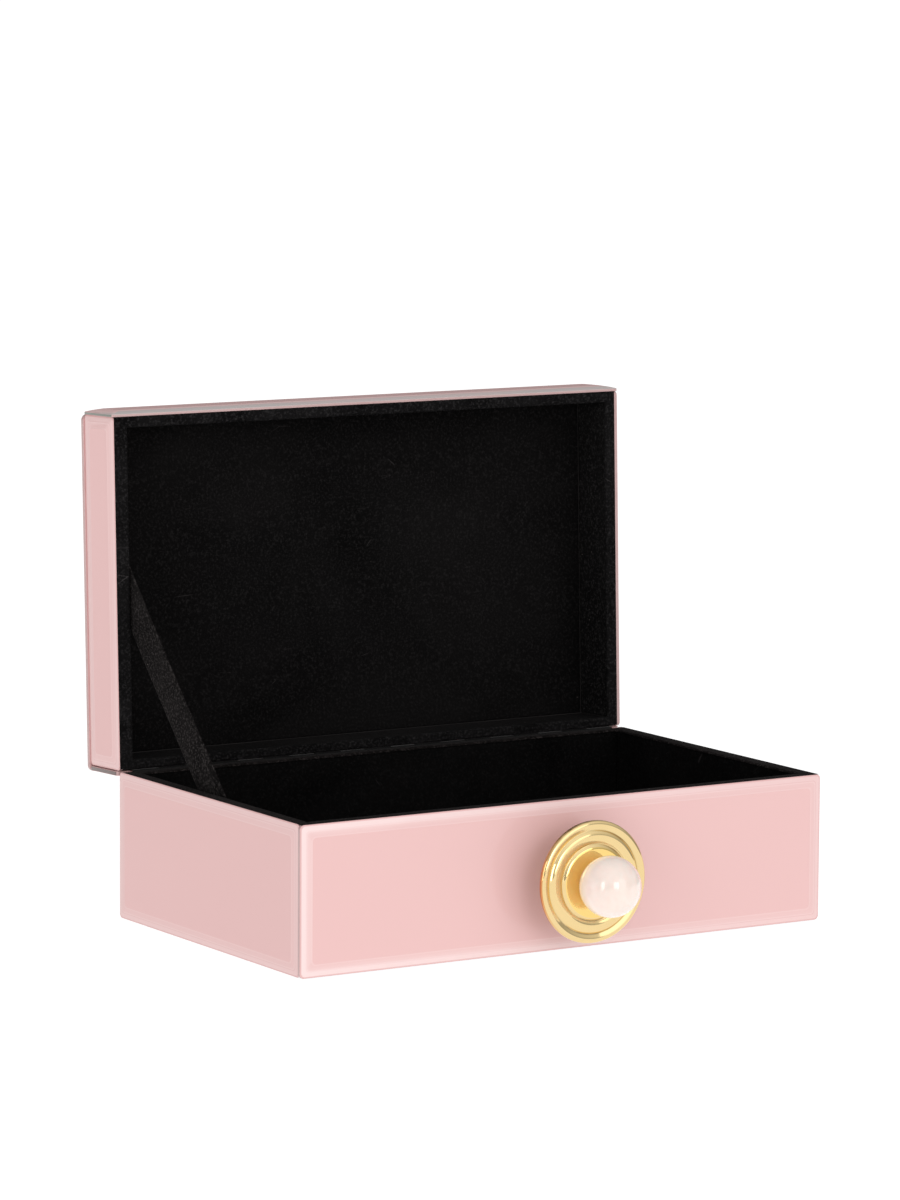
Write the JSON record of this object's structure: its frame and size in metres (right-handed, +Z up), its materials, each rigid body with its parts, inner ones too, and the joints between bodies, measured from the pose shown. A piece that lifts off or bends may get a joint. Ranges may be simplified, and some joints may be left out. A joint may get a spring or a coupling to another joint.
{
  "type": "jewelry box",
  "caption": "Rectangular hinged jewelry box in pink bevelled glass, lined in black velvet, with a disc-and-ball pull on the front and a ribbon stay for the lid.",
  "frame": {"origin": "middle of the underside, on the surface that the felt rests on", "axes": "+X along the box to the right, +Y from the front with the pull to the hinge, +Z up; stored with the lid open"},
  "size_m": [0.3, 0.2709, 0.2531],
  "materials": {
    "pink_glass": "polished glass with bevelled edges, painted pink on its back",
    "board": "fibreboard stained black",
    "felt": "short black felt",
    "velvet": "black velvet over card",
    "ribbon": "black velvet ribbon",
    "rose_quartz": "polished pale pink milky stone",
    "polished_brass": "polished, lightly worn in the grooves",
    "hinge_black": "black lacquer over rolled steel",
    "steel": "plain bright steel"
  },
  "bodies": {
    "base": {"base_board_front": "board", "base_board_back": "board", "base_board_left": "board", "base_board_right": "board", "base_floor_board": "board", "base_felt": "felt", "base_glass_front": "pink_glass", "base_glass_back": "pink_glass", "base_glass_left": "pink_glass", "base_glass_right": "pink_glass", "base_lining_front": "velvet", "base_lining_back": "velvet", "base_lining_left": "velvet", "base_lining_right": "velvet", "base_floor_pad": "velvet", "base_rim_velvet": "velvet", "hinge_leaf_base": "hinge_black", "hinge_pin": "steel", "hinge_screws_base": "steel", "knob_disc": "polished_brass", "knob_stem": "polished_brass", "knob_ball": "rose_quartz", "knob_stud": "steel", "knob_washer": "steel", "knob_nut": "steel", "stay_ribbon": "ribbon"},
    "lid": {"lid_board_front": "board", "lid_board_back": "board", "lid_board_left": "board", "lid_board_right": "board", "lid_board_top": "board", "lid_glass_front": "pink_glass", "lid_glass_back": "pink_glass", "lid_glass_left": "pink_glass", "lid_glass_right": "pink_glass", "lid_glass_top": "pink_glass", "lid_lining_front": "velvet", "lid_lining_back": "velvet", "lid_lining_left": "velvet", "lid_lining_right": "velvet", "lid_lining_top": "velvet", "lid_rim_velvet": "velvet", "hinge_leaf_lid": "hinge_black", "hinge_screws_lid": "steel"}
  },
  "joints": [
    {"name": "lid_hinge", "type": "hinge", "parent": "base", "child": "lid", "pos_m": [0, 0.088, 0.073], "axis": [1, 0, 0], "range_deg": [0, 92], "deforming": ["stay_ribbon"]}
  ]
}
